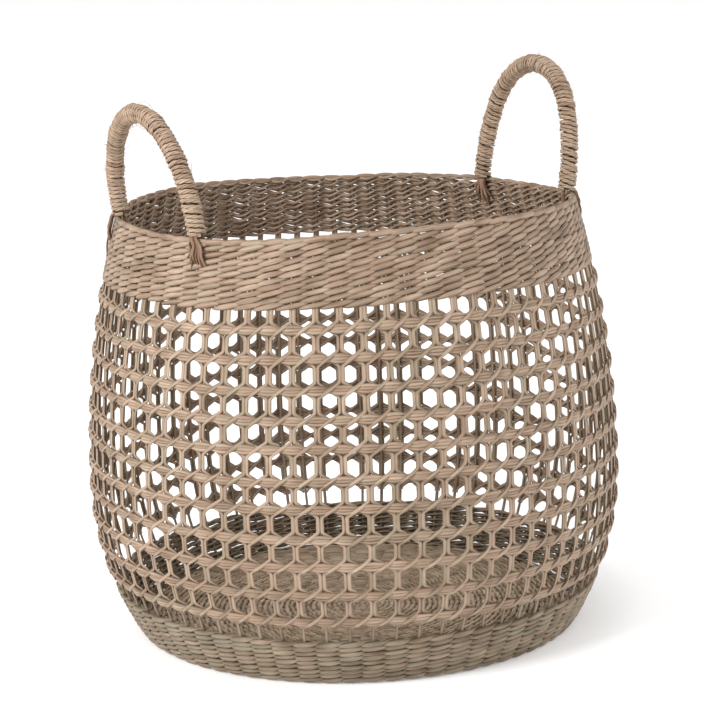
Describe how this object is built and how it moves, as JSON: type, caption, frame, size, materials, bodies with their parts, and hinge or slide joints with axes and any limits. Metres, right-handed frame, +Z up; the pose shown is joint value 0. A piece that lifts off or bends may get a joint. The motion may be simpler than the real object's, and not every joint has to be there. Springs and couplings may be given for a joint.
{
  "type": "storage basket",
  "caption": "Round woven storage basket with a rounded belly, an open lattice wall between two dense bands, and two swinging loop handles.",
  "frame": {"origin": "middle of the underside of the base, on the surface the basket stands on", "axes": "+Z up out of the open top, +X to the right handle, -X to the left handle, +Y to the back"},
  "size_m": [0.3996, 0.3996, 0.4142],
  "materials": {
    "lower_band_twine": "matte",
    "open_row_bundle": "matte",
    "upper_band_twine": "matte",
    "base_twine": "matte",
    "stake_seagrass": "matte",
    "strip_seagrass": "matte",
    "core_strands": "matte",
    "handle_twine": "matte"
  },
  "bodies": {
    "root": {"base_centre": "base_twine", "base_weave_inner": "base_twine", "base_weave_middle": "base_twine", "base_weave_outer": "base_twine", "base_spokes_long": "stake_seagrass", "base_spokes_short": "stake_seagrass", "foot_row": "lower_band_twine", "lower_band_row_02": "lower_band_twine", "lower_band_row_03": "lower_band_twine", "lower_band_row_04": "lower_band_twine", "lower_band_row_05": "lower_band_twine", "lower_band_row_06": "lower_band_twine", "lower_band_row_07": "lower_band_twine", "lower_band_row_08": "lower_band_twine", "lower_band_row_09": "lower_band_twine", "open_row_01": "open_row_bundle", "open_row_02": "open_row_bundle", "open_row_03": "open_row_bundle", "open_row_04": "open_row_bundle", "open_row_05": "open_row_bundle", "open_row_06": "open_row_bundle", "open_row_07": "open_row_bundle", "open_row_08": "open_row_bundle", "open_row_09": "open_row_bundle", "open_row_10": "open_row_bundle", "open_row_11": "open_row_bundle", "upper_band_row_01": "upper_band_twine", "upper_band_row_02": "upper_band_twine", "upper_band_row_03": "upper_band_twine", "upper_band_row_04": "upper_band_twine", "upper_band_row_05": "upper_band_twine", "upper_band_row_06": "upper_band_twine", "upper_band_row_07": "upper_band_twine", "upper_band_row_08": "upper_band_twine", "upper_band_row_09": "upper_band_twine", "upper_band_row_10": "upper_band_twine", "rim_row": "upper_band_twine", "wall_stakes": "stake_seagrass", "first_lattice_strips": "strip_seagrass", "second_lattice_strips": "strip_seagrass", "right_handle_lashing_front": "core_strands", "right_handle_lashing_back": "core_strands", "left_handle_lashing_front": "core_strands", "left_handle_lashing_back": "core_strands"},
    "right_handle": {"right_handle_core": "core_strands", "right_handle_wrap": "handle_twine"},
    "left_handle": {"left_handle_core": "core_strands", "left_handle_wrap": "handle_twine"}
  },
  "joints": [
    {"name": "right_handle_swing", "type": "hinge", "parent": "root", "child": "right_handle", "pos_m": [0.15417, -0.00485, 0.324], "axis": [0.0314, 0.9995, 0], "range_deg": [-85, 70]},
    {"name": "left_handle_swing", "type": "hinge", "parent": "root", "child": "left_handle", "pos_m": [-0.15418, -0.00431, 0.324], "axis": [0.0279, -0.9996, 0], "range_deg": [-85, 70]}
  ]
}
